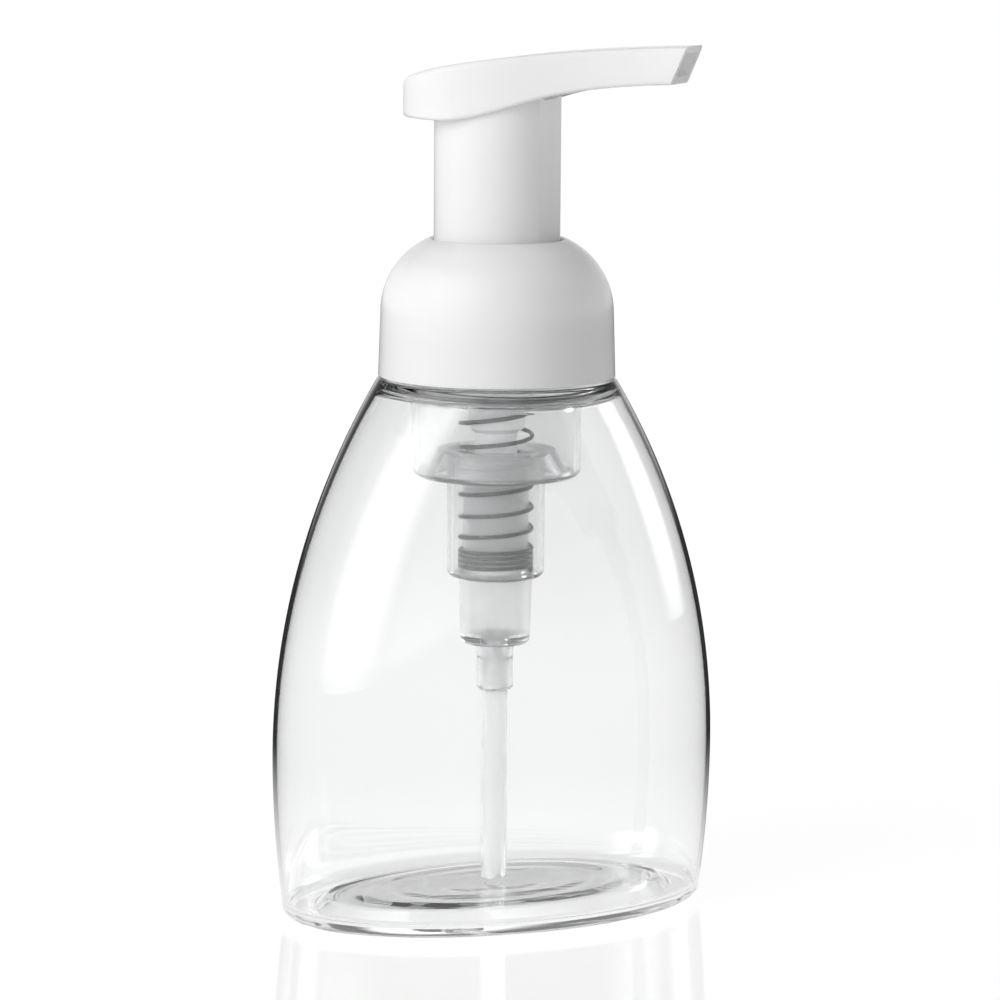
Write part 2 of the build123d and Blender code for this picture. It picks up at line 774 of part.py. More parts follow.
def pump_head():
    wing = head_wing()
    skirt_face = flatted_round(skirt_radius, skirt_flat_distance, skirt_corner_radius)
    hollow_radius = skirt_radius - skirt_wall
    hollow_face = flatted_round(hollow_radius, skirt_flat_distance - skirt_wall, skirt_corner_radius)
    hollow_top_z = head_rear_high
    skirt = Pos(0, 0, skirt_bottom_z) * extrude(skirt_face, hollow_top_z - skirt_bottom_z)
    hollow = Pos(0, 0, skirt_bottom_z - cut_margin) * extrude(hollow_face, hollow_top_z - skirt_bottom_z)
    post = rod(head_tube_radius, head_tube_bottom_z, hollow_top_z)
    duct_low_z = spout_tip_low + spout_floor_wall
    duct_half_width = spout_half_width - spout_wall
    duct_block = Pos(skirt_flat_distance / 2, 0, hollow_top_z - spout_duct_height / 2)
    duct_block *= Box(skirt_flat_distance, 2 * spout_half_width, spout_duct_height)
    duct_root_z = hollow_top_z - spout_duct_height + spout_floor_wall
    duct_side = Polyline(
        (0, duct_root_z),
        (skirt_flat_distance, duct_root_z),
        (spout_reach - spout_tip_slant - cut_margin, duct_low_z),
        (spout_reach + cut_margin, duct_low_z),
        (spout_reach + cut_margin, duct_low_z + spout_mouth_height),
        (spout_reach - spout_tip_slant - cut_margin, duct_low_z + spout_mouth_height),
        (skirt_flat_distance, duct_root_z + spout_duct_height),
        (0, duct_root_z + spout_duct_height),
        close=True,
    )
    duct = extrude(Plane.XZ * make_face(duct_side), duct_half_width, both=True)
    shape = wing + skirt - hollow + post + duct_block - duct
    shape -= rod(head_bore_radius, head_tube_bottom_z - cut_margin, cartridge_top_z)
    shape -= rod(foam_bore_radius, cartridge_top_z - cut_margin, duct_root_z + spout_duct_height)
    return Rot(0, 0, head_turn) * shape


save(bottle(), "bottle")
save(neck_gasket(), "neck_gasket")
save(screw_collar(), "screw_collar")
save(cylinder_cover(), "cylinder_cover")
save(pump_housing(), "pump_housing")
save(ball_at(inlet_ball_radius, inlet_hole_radius, inlet_seat_z), "inlet_ball")
save(ball_cage(), "ball_cage")
save(dip_tube(), "dip_tube")
save(piston_stem(), "piston_stem")
save(air_piston(), "air_piston")
save(air_valve(), "air_valve")
save(liquid_piston(), "liquid_piston")
save(ball_at(outlet_ball_radius, stem_lower_bore_radius, stem_step_z), "outlet_ball")
save(return_spring(), "return_spring")
save(mesh_holder(), "mesh_holder")
save(screen(cartridge_bottom_z), "lower_screen")
save(screen(cartridge_top_z - screen_thickness), "upper_screen")
save(pump_head(), "pump_head")
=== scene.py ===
import bmesh
import bpy
import json
import math
from mathutils import Matrix, Vector

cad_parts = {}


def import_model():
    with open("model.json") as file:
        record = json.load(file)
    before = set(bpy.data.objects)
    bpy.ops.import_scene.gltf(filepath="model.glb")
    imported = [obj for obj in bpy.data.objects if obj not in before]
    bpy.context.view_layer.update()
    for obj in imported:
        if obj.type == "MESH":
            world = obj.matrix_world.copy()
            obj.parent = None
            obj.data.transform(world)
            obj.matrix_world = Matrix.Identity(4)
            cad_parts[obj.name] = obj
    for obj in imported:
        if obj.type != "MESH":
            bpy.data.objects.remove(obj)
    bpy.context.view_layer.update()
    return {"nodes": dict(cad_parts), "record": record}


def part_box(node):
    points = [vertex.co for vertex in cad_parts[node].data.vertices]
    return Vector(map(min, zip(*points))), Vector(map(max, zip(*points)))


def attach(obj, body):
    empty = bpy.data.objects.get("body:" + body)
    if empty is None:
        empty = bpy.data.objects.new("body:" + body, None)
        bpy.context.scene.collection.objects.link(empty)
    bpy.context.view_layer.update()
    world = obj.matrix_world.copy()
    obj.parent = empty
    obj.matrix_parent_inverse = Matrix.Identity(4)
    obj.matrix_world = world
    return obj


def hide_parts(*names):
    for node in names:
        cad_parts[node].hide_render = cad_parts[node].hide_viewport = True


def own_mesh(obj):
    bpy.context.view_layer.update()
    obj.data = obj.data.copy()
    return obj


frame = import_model()
MM = 0.001
WHITE = (1, 1, 1, 1)

# Camera, from the photograph: distance from the pump's axis, height, tilt and turn round the bottle
camera_distance = 750.0 * MM
camera_height = 194.0 * MM
camera_side_step = 0.777 * MM
camera_tilt_down = 0.155
camera_turn = math.radians(-23.3)
camera_roll = math.radians(0.4)
camera_lens = 146.7
camera_sensor = 36.0

# Floor in metres: white to the camera, with a faint shadow and a soft mirror image, and dimmer where it is
# seen through the bottle beyond the table: a painted shade that greys the bottle's inside
floor_radius = 6.0
floor_sides = 96
floor_colour = (0.8, 0.8, 0.8, 1)
floor_roughness = 0.5
floor_shadow = (0.16, 0.16, 0.16, 1)
floor_glow = 1.0
through_bottle_painted_shade = 0.86
through_edge = (0.2, 0.5)
floor_mirror = 0.25
mirror_roughness = 0.05

# Studio that reflections and grazing rays show: where each zone starts and ends, and how bright it is
studio_dark = 0.03
table_edge = (0.0, 0.18)
distant_edge = (0.6, 4.0)
horizon_edge = (0.05, 0.6)
behind_edge = (0.85, 0.98)
beside_dark = 0.2
sweep_edge = (0.06, 0.2)
sweep_dark = 0.15
window_edge = (0.7, 0.97)
window_light = 1.3
ceiling_edge = (0.75, 0.95)
ceiling_light = 0.9

# Light on the object from all round: in the open, and inside the bottle, which gets little from the lamps
world_light = 0.45
inside_light = 4.3

# Limits that tell rays apart: surfaces passed by grazing a single wall, and scattering by a matt surface
grazing_depth = 2.5
diffuse_depth = 0.5

# Bounces followed through clear walls, and between other surfaces
clear_bounces = 40
other_bounces = 16

# Lamps in metres and watts, placed as the camera sees them: to the right, away and up.
# Their centre and their soft edge are shares of their size.
key_place = (-0.85, -0.75, 0.6)
key_size = (1.4, 1.8)
key_power = 44
top_place = (0.0, 0.2, 1.1)
top_size = (0.9, 0.9)
top_power = 4
fill_place = (1.0, 0.5, 0.3)
fill_size = (0.6, 0.8)
fill_power = 11
lamp_aim_height = 0.09
lamp_centre = 0.5
lamp_soft_edge = (0.1, 0.5)

# Milky pump plastic: how much light it lets through, where it is cloudier, and the nodes too thick for light
thin_wall_clear = 0.94
inner_tube_edge = (5.8 * MM, 6.4 * MM)
inner_tube_cloud = 0.22
cone_edge = (13.0 * MM, 14.0 * MM)
cone_foot = (80.0 * MM, 82.0 * MM)
cone_cloud = 0.14
flange_edge = (97.0 * MM, 100.0 * MM)
flange_cloud = 0.7
milky_nodes = ("piston_stem", "mesh_holder")

# White plastic: the share of light that passes through a wall, and its colour there
white_wall_glow = 0.35
white_wall_colour = (0.95, 0.95, 0.95, 1)

# Bottle in millimetres, after the CAD: an oval that turns into a circle at the shoulder
body_half_width = 43.2
body_half_depth = 27.2
body_widest_z = 30.0
base_half_width = 41.0
base_half_depth = 25.9
base_edge_radius = 2.0
shoulder_radius = 22.0
shoulder_z = 100.0
shoulder_edge_radius = 0.8
shoulder_roof = 1.9
body_wall = 0.8
shoulder_wall = 1.5
inner_shoulder_radius = 3.0
floor_wall = 1.8
inner_floor_radius = 2.0
foot_width = 5.0
foot_ring_width = 6.7
push_up_depth = 2.2
push_up_slope = 3.0
floor_edge_radius = 2.0
floor_dome = 0.5
floor_ripple = 0.07
floor_ripple_count = 4
gate_mark_radius = 1.6
gate_mark_height = 0.5
small_edge_radius = 0.2
neck_radius = 18.7
neck_wall = 1.8
neck_height = 10.2
neck_edge_radius = 0.3
thread_pitch = 4.233
thread_turns = 1.1
thread_depth = 1.3
thread_root_width = 2.0
thread_crest_width = 1.0
thread_rise = 2.6
thread_start_turn = 30.0 / 360.0
thread_run_out = 0.04

# Places on the bottle worked out from the sizes above
lip_z = shoulder_z + neck_height
roof_z = shoulder_z - shoulder_roof
neck_bore_radius = neck_radius - neck_wall
inner_floor_z = floor_wall + push_up_depth
raised_floor_inset = foot_width + push_up_slope
push_up_inset = foot_width + floor_wall + push_up_slope

# Fineness of the bottle's mesh, with its steps in millimetres
wall_step = 1.5
neck_step = 0.25
floor_rings = 40
corner_steps = 6
corner_support = 0.03
bottle_sides = 144

# Return spring, which takes its radius and length from its CAD node
spring_wire = 0.8 * MM
spring_dead_pitch = 0.95 * MM
spring_start_turn = 0.878
spring_dead_turns = 4
spring_active_turns = 7.54
spring_stretch = 0.19
spring_steps_per_turn = 40
spring_sides = 12


def fill_in(made, settings):
    """Sets a node's sockets and properties by name, with _ for a blank in a socket's name."""
    for key, value in settings.items():
        socket = key.replace("_", " ")
        if socket in made.inputs:
            made.inputs[socket].default_value = value
        else:
            setattr(made, key, value)


def node(tree, kind, **settings):
    made = tree.nodes.new(kind)
    fill_in(made, settings)
    return made


def link(tree, source, target):
    tree.links.new(source, target)


def feed(tree, value, socket):
    """Sets a socket to a number, or links another node's output to it."""
    if isinstance(value, float):
        socket.default_value = value
    else:
        link(tree, value, socket)


def surface(name, **sockets):
    """Principled material with constant values on the shader's own sockets."""
    material = bpy.data.materials.new(name)
    material.use_nodes = True
    fill_in(shader_of(material.node_tree), sockets)
    return material


def shader_of(tree):
    return tree.nodes["Principled BSDF"]


def output_of(tree):
    return tree.nodes["Material Output"]


def calculate(tree, operation, first, second):
    """Math node between two values, each a socket or a number."""
    made = node(tree, "ShaderNodeMath", operation=operation)
    feed(tree, first, made.inputs[0])
    feed(tree, second, made.inputs[1])
    return made.outputs["Value"]


def fade(tree, value, start, end, first, last):
    """Smooth change from first to last as the value goes from start to end."""
    made = node(tree, "ShaderNodeMapRange", interpolation_type="SMOOTHSTEP",
                From_Min=start, From_Max=end, To_Min=first, To_Max=last)
    link(tree, value, made.inputs["Value"])
    return made.outputs["Result"]


def blend(tree, share, first, second):
    """Mix of two shaders, the second by the given share."""
    made = node(tree, "ShaderNodeMixShader")
    feed(tree, share, made.inputs["Fac"])
    link(tree, first, made.inputs[1])
    link(tree, second, made.inputs[2])
    return made.outputs["Shader"]


def on_object(tree, stretch=(1, 1, 1)):
    """Object coordinates in metres, stretched along the axes."""
    coordinates = node(tree, "ShaderNodeTexCoord")
    mapping = node(tree, "ShaderNodeMapping", Scale=stretch)
    link(tree, coordinates.outputs["Object"], mapping.inputs["Vector"])
    return mapping.outputs["Vector"]


def noise(tree, scale, detail=3.0, stretch=(1, 1, 1)):
    texture = node(tree, "ShaderNodeTexNoise", Scale=scale, Detail=detail)
    link(tree, on_object(tree, stretch), texture.inputs["Vector"])
    return texture.outputs["Fac"]


def vary_colour(tree, value, first, second):
    """Base colour that goes from first to second as the value goes from 0 to 1."""
    ramp = node(tree, "ShaderNodeValToRGB")
    ramp.color_ramp.elements[0].color = (*first, 1)
    ramp.color_ramp.elements[1].color = (*second, 1)
    link(tree, value, ramp.inputs["Fac"])
    link(tree, ramp.outputs["Color"], shader_of(tree).inputs["Base Color"])


def vary_roughness(tree, value, low, high):
    """Roughness that goes from low to high as the value goes from 0 to 1."""
    ranged = node(tree, "ShaderNodeMapRange", To_Min=low, To_Max=high)
    link(tree, value, ranged.inputs["Value"])
    link(tree, ranged.outputs["Result"], shader_of(tree).inputs["Roughness"])


def bump(tree, height, depth, strength=1.0):
    made = node(tree, "ShaderNodeBump", Strength=strength, Distance=depth)
    link(tree, height, made.inputs["Height"])
    link(tree, made.outputs["Normal"], shader_of(tree).inputs["Normal"])


def clear_pet():
    """Blown bottle plastic: clear, with faint upright waves, and greyer where it is thick."""
    material = surface("clear_pet", Transmission_Weight=1.0, Roughness=0.0, IOR=1.57)
    tree = material.node_tree
    streaks = noise(tree, scale=30, stretch=(1, 1, 0.4))
    vary_colour(tree, streaks, first=(0.985, 0.99, 0.99), second=(1.0, 1.0, 1.0))
    bump(tree, noise(tree, scale=22, detail=1.0, stretch=(1, 1, 0.35)), depth=0.03 * MM)
    tint = node(tree, "ShaderNodeVolumeAbsorption", Color=(0.8, 0.81, 0.81, 1), Density=30.0)
    link(tree, tint.outputs["Volume"], output_of(tree).inputs["Volume"])
    return material


def white_pp():
    """Glossy white mouldings, whose walls let some light through to their other side."""
    material = surface("white_pp", IOR=1.49)
    tree = material.node_tree
    patches = noise(tree, scale=25, detail=1.0)
    vary_colour(tree, patches, first=(0.872, 0.872, 0.872), second=(0.88, 0.88, 0.88))
    vary_roughness(tree, noise(tree, scale=40, detail=0.0), low=0.07, high=0.11)
    bump(tree, noise(tree, scale=60, detail=0.0), depth=0.01 * MM, strength=0.5)
    passing = node(tree, "ShaderNodeBsdfTranslucent", Color=white_wall_colour)
    mixed = blend(tree, white_wall_glow, shader_of(tree).outputs["BSDF"], passing.outputs["BSDF"])
    link(tree, mixed, output_of(tree).inputs["Surface"])
    return material


def natural_pp():
    """Milky plastic: clear in the thin outer walls, cloudier in the cone, the flange and the inner tubes."""
    material = surface("natural_pp", IOR=1.48)
    tree = material.node_tree
    vary_colour(tree, noise(tree, scale=90), first=(0.89, 0.893, 0.896), second=(0.93, 0.932, 0.934))
    vary_roughness(tree, noise(tree, scale=500), low=0.0, high=0.03)
    bump(tree, noise(tree, scale=300, stretch=(1, 1, 0.15)), depth=0.004 * MM, strength=0.5)
    split = node(tree, "ShaderNodeSeparateXYZ")
    link(tree, on_object(tree), split.inputs["Vector"])
    height = split.outputs["Z"]
    across = node(tree, "ShaderNodeVectorMath", operation="LENGTH")
    link(tree, on_object(tree, stretch=(1, 1, 0)), across.inputs[0])
    reach = across.outputs["Value"]
    inner = fade(tree, reach, *inner_tube_edge, inner_tube_cloud, 0.0)
    cone = fade(tree, reach, *cone_edge, cone_cloud, 0.0)
    cone = calculate(tree, "MULTIPLY", cone, fade(tree, height, *cone_foot, 0.0, 1.0))
    flange = fade(tree, height, *flange_edge, 0.0, flange_cloud)
    cloud = calculate(tree, "MAXIMUM", calculate(tree, "MAXIMUM", inner, cone), flange)
    clear = calculate(tree, "SUBTRACT", thin_wall_clear, cloud)
    link(tree, clear, shader_of(tree).inputs["Transmission Weight"])
    return material


def milky_pp():
    """The same plastic in thick walls, which light no longer passes."""
    material = surface("milky_pp", Roughness=0.3, IOR=1.45)
    tree = material.node_tree
    vary_colour(tree, noise(tree, scale=90), first=(0.93, 0.932, 0.935), second=(0.95, 0.95, 0.95))
    return material


def soft_pe():
    material = surface("soft_pe", Subsurface_Weight=0.2, Subsurface_Scale=1.0 * MM, IOR=1.5)
    tree = material.node_tree
    vary_colour(tree, noise(tree, scale=120), first=(0.8, 0.8, 0.79), second=(0.86, 0.86, 0.85))
    vary_roughness(tree, noise(tree, scale=700), low=0.35, high=0.48)
    bump(tree, noise(tree, scale=1800), depth=0.008 * MM, strength=0.5)
    return material


def silicone():
    material = surface("silicone", Transmission_Weight=0.4, IOR=1.41)
    tree = material.node_tree
    vary_colour(tree, noise(tree, scale=150), first=(0.78, 0.79, 0.8), second=(0.85, 0.86, 0.86))
    vary_roughness(tree, noise(tree, scale=900), low=0.4, high=0.55)
    bump(tree, noise(tree, scale=2200), depth=0.006 * MM, strength=0.5)
    return material


def foam_seal():
    """Foamed gasket sheet with small cells."""
    material = surface("foam_seal")
    tree = material.node_tree
    cells = node(tree, "ShaderNodeTexVoronoi", Scale=2600.0)
    link(tree, on_object(tree), cells.inputs["Vector"])
    from_cell = cells.outputs["Distance"]
    vary_colour(tree, from_cell, first=(0.85, 0.85, 0.84), second=(0.93, 0.93, 0.92))
    vary_roughness(tree, from_cell, low=0.8, high=0.95)
    bump(tree, from_cell, depth=0.08 * MM)
    return material


def spring_steel():
    """Drawn wire with fine marks round it. Its nearly black metal colour is painted shade, for the dark
    surroundings the wire reflects.
    """
    material = surface("spring_steel", Metallic=1.0)
    tree = material.node_tree
    marks = noise(tree, scale=500, stretch=(1, 1, 6))
    # Nearly black metal colour: painted shade for the dark reflections of the coils
    vary_colour(tree, marks, first=(0.008, 0.008, 0.009), second=(0.05, 0.051, 0.052))
    vary_roughness(tree, noise(tree, scale=1500, stretch=(1, 1, 8)), low=0.2, high=0.34)
    bump(tree, noise(tree, scale=2500, stretch=(1, 1, 12)), depth=0.01 * MM, strength=0.6)
    return material


def polished_steel():
    material = surface("polished_steel", Metallic=1.0)
    tree = material.node_tree
    vary_colour(tree, noise(tree, scale=300), first=(0.62, 0.62, 0.63), second=(0.7, 0.7, 0.71))
    vary_roughness(tree, noise(tree, scale=1200), low=0.05, high=0.12)
    return material


def nylon_mesh():
    """Woven screen."""
    material = surface("nylon_mesh", IOR=1.53)
    tree = material.node_tree
    weave = node(tree, "ShaderNodeTexBrick", Scale=2500.0, offset=0.5)
    link(tree, on_object(tree), weave.inputs["Vector"])
    gaps = weave.outputs["Fac"]
    vary_colour(tree, gaps, first=(0.84, 0.84, 0.82), second=(0.6, 0.6, 0.59))
    vary_roughness(tree, noise(tree, scale=900), low=0.45, high=0.6)
    bump(tree, gaps, depth=0.05 * MM)
    return material


def dress(materials):
    """Each CAD node takes the material of its slot in the record, or the thick milky plastic."""
    for part in frame["record"]["subparts"]:
        finish = "milky_pp" if part["node"] in milky_nodes else part["material_slot"]
        shown = frame["nodes"][part["node"]]
        shown.data.materials.clear()
        shown.data.materials.append(materials[finish])


def put_in_scene(name, mesh):
    """Object of a finished mesh, in the scene."""
    data = bpy.data.meshes.new(name)
    mesh.to_mesh(data)
    mesh.free()
    made = bpy.data.objects.new(name, data)
    bpy.context.scene.collection.objects.link(made)
    return made


def finish_mesh(name, mesh):
    """Turns the faces outward, shades them smooth and puts the mesh in the scene."""
    bmesh.ops.recalc_face_normals(mesh, faces=mesh.faces)
    made = put_in_scene(name, mesh)
    for face in made.data.polygons:
        face.use_smooth = True
    return made


def join_rings(mesh, rings):
    """Faces between each ring of corners and the next."""
    for ring, following in zip(rings, rings[1:]):
        for side in range(len(ring)):
            turn = (side + 1) % len(ring)
            mesh.faces.new((ring[side], ring[turn], following[turn], following[side]))


def tube_mesh(name, points, radius, sides):
    """Closed round tube along a line of points."""
    mesh = bmesh.new()
    rings = []
    for index, point in enumerate(points):
        before = points[max(index - 1, 0)]
        after = points[min(index + 1, len(points) - 1)]
        along = (after - before).normalized()
        outward = Vector((point.x, point.y, 0)).normalized()
        upward = along.cross(outward).normalized()
        outward = upward.cross(along)
        ring = []
        for side in range(sides):
            angle = 2 * math.pi * side / sides
            offset = radius * (math.cos(angle) * outward + math.sin(angle) * upward)
            ring.append(mesh.verts.new(point + offset))
        rings.append(ring)
    join_rings(mesh, rings)
    mesh.faces.new(reversed(rings[0]))
    mesh.faces.new(rings[-1])
    return finish_mesh(name, mesh)


def spring_height(turn, bottom, top):
    """Height of the wire after some turns: closed coils, open ones and one more closed coil."""
    if turn < spring_dead_turns:
        return bottom + turn * spring_dead_pitch
    dead_top = bottom + spring_dead_turns * spring_dead_pitch
    closed_start = top - spring_wire
    open_turns = turn - spring_dead_turns
    if open_turns < spring_active_turns:
        share = open_turns / spring_active_turns
        share += spring_stretch * share * (share - 1)
        return dead_top + share * (closed_start - dead_top)
    return closed_start + (open_turns - spring_active_turns) * spring_wire


def return_spring(material):
    """Spring with closed coils at both ends."""
    low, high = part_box("return_spring")
    radius = (high[0] - low[0]) / 2 - spring_wire / 2
    bottom = low[2] + spring_wire / 2
    top = high[2] - spring_wire / 2
    turns = spring_dead_turns + spring_active_turns + 1
    steps = int(turns * spring_steps_per_turn)
    points = []
    for step in range(steps + 1):
        turn = turns * step / steps
        angle = 2 * math.pi * (turn + spring_start_turn)
        height = spring_height(turn, bottom, top)
        points.append(Vector((radius * math.cos(angle), radius * math.sin(angle), height)))
    spring = tube_mesh("spring_wire", points, spring_wire / 2, spring_sides)
    spring.data.materials.append(material)
    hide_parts("return_spring")
    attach(spring, "pump")
    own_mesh(spring)


def arc_drop(rise, full_rise, full_drop):
    """Fall of a circular arc that starts upright and drops full_drop over full_rise."""
    curvature = 2 * full_drop / (full_rise**2 + full_drop**2)
    return curvature * rise**2 / (1 + math.sqrt(1 - (curvature * rise) ** 2))


def body_half(z, widest, foot):
    """Half size of the bottle's outside at one height, along its width or its depth."""
    if z < body_widest_z:
        return widest - arc_drop(body_widest_z - z, body_widest_z, widest - foot)
    return widest - arc_drop(z - body_widest_z, shoulder_z - body_widest_z, widest - shoulder_radius)


def inner_half(z, widest, foot):
    """Half size of the bottle's inside, whose wall grows thicker towards the shoulder."""
    share = max(0.0, z - body_widest_z) / (shoulder_z - body_widest_z)
    return body_half(z, widest, foot) - body_wall - (shoulder_wall - body_wall) * share**2


def between(start, end, step):
    """Even heights strictly between two levels, about a step apart."""
    count = math.ceil(abs(end - start) / step)
    return [start + (end - start) * index / count for index in range(1, count)]


def rounded(corners):
    """Outline through corners of (reach, height, radius), each rounded off by its radius."""
    points = [Vector(corners[0][:2])]
    for before, corner, after in zip(corners, corners[1:], corners[2:]):
        at = Vector(corner[:2])
        radius = corner[2]
        if radius == 0:
            points.append(at)
            continue
        back = (Vector(before[:2]) - at).normalized()
        ahead = (Vector(after[:2]) - at).normalized()
        half_turn = (math.pi - back.angle(ahead)) / 2
        reach = radius * math.tan(half_turn)
        centre = at + (back + ahead).normalized() * radius / math.cos(half_turn)
        first = (at + back * reach - centre) / radius
        last = (at + ahead * reach - centre) / radius
        points.append(at + back * (reach + corner_support))
        for step in range(corner_steps + 1):
            points.append(centre + first.slerp(last, step / corner_steps) * radius)
        points.append(at + ahead * (reach + corner_support))
    points.append(Vector(corners[-1][:2]))
    return points


def underside_corners(foot):
    """From the centre of the underside outward: gate mark, push-up and foot ring."""
    return [
        (0, push_up_depth - gate_mark_height, 0),
        (gate_mark_radius, push_up_depth - gate_mark_height, small_edge_radius),
        (gate_mark_radius, push_up_depth, small_edge_radius),
        (foot - push_up_inset, push_up_depth, floor_edge_radius),
        (foot - foot_ring_width, 0, small_edge_radius),
        (foot, 0, base_edge_radius),
    ]


def outside_corners(widest, foot):
    """Up the outside of the body and the neck to the lip."""
    wall = between(base_edge_radius, shoulder_z - shoulder_edge_radius, wall_step)
    neck = between(shoulder_z + neck_edge_radius, lip_z - neck_edge_radius, neck_step)
    return [
        *((body_half(z, widest, foot), z, 0) for z in wall),
        (shoulder_radius, shoulder_z, shoulder_edge_radius),
        (neck_radius, shoulder_z, neck_edge_radius),
        *((neck_radius, z, 0) for z in neck),
        (neck_radius, lip_z, neck_edge_radius),
    ]


def inside_corners(widest, foot):
    """Down the inside of the neck and the body to the foot of the raised floor."""
    wall = between(roof_z - inner_shoulder_radius, floor_wall + inner_floor_radius, wall_step)
    return [
        (neck_bore_radius, lip_z, neck_edge_radius),
        (neck_bore_radius, roof_z, neck_edge_radius),
        (inner_half(roof_z, widest, foot), roof_z, inner_shoulder_radius),
        *((inner_half(z, widest, foot), z, 0) for z in wall),
        (inner_half(floor_wall, widest, foot), floor_wall, inner_floor_radius),
        (foot - foot_width, floor_wall, small_edge_radius),
    ]


def raised_floor_corners(foot):
    """Raised inner floor from its rim to the centre: a low dome with ripples."""
    plateau = foot - raised_floor_inset
    corners = [(plateau, inner_floor_z - floor_dome, floor_edge_radius)]
    for index in range(1, floor_rings):
        share = (1 - floor_edge_radius / plateau) * (1 - index / floor_rings)
        ripple = floor_ripple * math.cos(2 * math.pi * floor_ripple_count * share) * share
        corners.append((plateau * share, inner_floor_z - floor_dome * share**2 + ripple, 0))
    corners.append((0, inner_floor_z, 0))
    return corners


def bottle_outline(widest, foot):
    """Half section of the bottle along its width or its depth, from under the base to the inner floor."""
    return rounded([
        *underside_corners(foot),
        *outside_corners(widest, foot),
        *inside_corners(widest, foot),
        *raised_floor_corners(foot),
    ])


def thread_height(turn, z):
    """Height of the neck's thread over the neck at one place, with the rib run out at both ends."""
    height = 0.0
    for whole_turns in range(math.ceil(thread_turns) + 1):
        along = (turn - thread_start_turn) % 1 + whole_turns
        ends = min(along, thread_turns - along) / thread_run_out
        offset = abs(z - shoulder_z - thread_rise - thread_pitch * along)
        flank = (thread_root_width / 2 - offset) / (thread_root_width / 2 - thread_crest_width / 2)
        height = max(height, thread_depth * min(1.0, flank, ends))
    return height


def bottle_ring(mesh, across, along):
    """Ring of corners between the width's outline and the depth's, with the thread raised on the neck."""
    threaded = abs(across.x - neck_radius) < corner_support and shoulder_z < across.y < lip_z
    ring = []
    for side in range(bottle_sides):
        angle = 2 * math.pi * side / bottle_sides
        z = across.y * math.cos(angle) ** 2 + along.y * math.sin(angle) ** 2
        rib = thread_height(side / bottle_sides, z) if threaded else 0.0
        x = (across.x + rib) * math.cos(angle)
        y = (along.x + rib) * math.sin(angle)
        ring.append(mesh.verts.new(Vector((x, y, z)) * MM))
    return ring


def smooth_bottle(material):
    """One closed mesh of the bottle, with rounded edges and finer than the CAD's facets."""
    wide = bottle_outline(body_half_width, base_half_width)
    deep = bottle_outline(body_half_depth, base_half_depth)
    mesh = bmesh.new()
    rings = [bottle_ring(mesh, across, along) for across, along in zip(wide[1:-1], deep[1:-1])]
    join_rings(mesh, rings)
    for ring, end in ((rings[0], wide[0]), (rings[-1], wide[-1])):
        centre = mesh.verts.new(Vector((0, 0, end.y)) * MM)
        for side in range(bottle_sides):
            mesh.faces.new((ring[side], ring[(side + 1) % bottle_sides], centre))
    made = finish_mesh("clear_bottle", mesh)
    made.data.materials.append(material)
    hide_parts("bottle")
    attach(made, "bottle_body")


def seen_from(side, forward, height):
    """Place given as the camera sees it: to the right, away from the camera and up."""
    right = Vector((math.cos(camera_turn), math.sin(camera_turn), 0))
    away = Vector((-math.sin(camera_turn), math.cos(camera_turn), 0))
    return right * side + away * forward + Vector((0, 0, height))


def ray(tree, fact):
    """What is known of the ray that reaches a surface or the world."""
    return node(tree, "ShaderNodeLightPath").outputs[fact]


def backdrop(tree):
    """Whether a ray comes from the lens by mirrors and lenses alone, and whether it shows plain white.

    White is what the camera sees beside the bottle and through both of its walls. Reflections, and
    rays that only graze one wall and leave it sideways, show the studio.
    """
    deep = calculate(tree, "GREATER_THAN", ray(tree, "Transmission Depth"), grazing_depth)
    through = calculate(tree, "MULTIPLY", ray(tree, "Is Transmission Ray"), deep)
    white = calculate(tree, "MAXIMUM", ray(tree, "Is Camera Ray"), through)
    return calculate(tree, "LESS_THAN", ray(tree, "Diffuse Depth"), diffuse_depth), white


def toward(tree, direction, place):
    """How nearly a ray's direction points to a place, 1 for straight at it."""
    made = node(tree, "ShaderNodeVectorMath", operation="DOT_PRODUCT")
    link(tree, direction, made.inputs[0])
    made.inputs[1].default_value = place.normalized()
    return made.outputs["Value"]


def horizon_level(tree, direction):
    """Brightness of the horizon: white, but darker beside the object in the bottle's sharp reflections."""
    along = calculate(tree, "ABSOLUTE", toward(tree, direction, seen_from(0, 1, 0)), 0.0)
    beside = fade(tree, along, *behind_edge, 1 - beside_dark, 0.0)
    darker = calculate(tree, "MULTIPLY", beside, ray(tree, "Is Singular Ray"))
    return calculate(tree, "SUBTRACT", 1.0, darker)


def floor_in_studio(tree, far, position):
    """Floor as reflections show it: a white table, dark ground round it and a white distance."""
    direction = node(tree, "ShaderNodeVectorMath", operation="NORMALIZE")
    link(tree, position, direction.inputs[0])
    table = fade(tree, far, *table_edge, 1.0, studio_dark)
    distant = fade(tree, far, *distant_edge, 0.0, 1.0)
    distant = calculate(tree, "MULTIPLY", distant, horizon_level(tree, direction.outputs["Vector"]))
    distant = calculate(tree, "MULTIPLY", distant, ray(tree, "Is Reflection Ray"))
    studio = node(tree, "ShaderNodeEmission", Color=WHITE)
    link(tree, calculate(tree, "MAXIMUM", table, distant), studio.inputs["Strength"])
    return studio.outputs["Emission"]


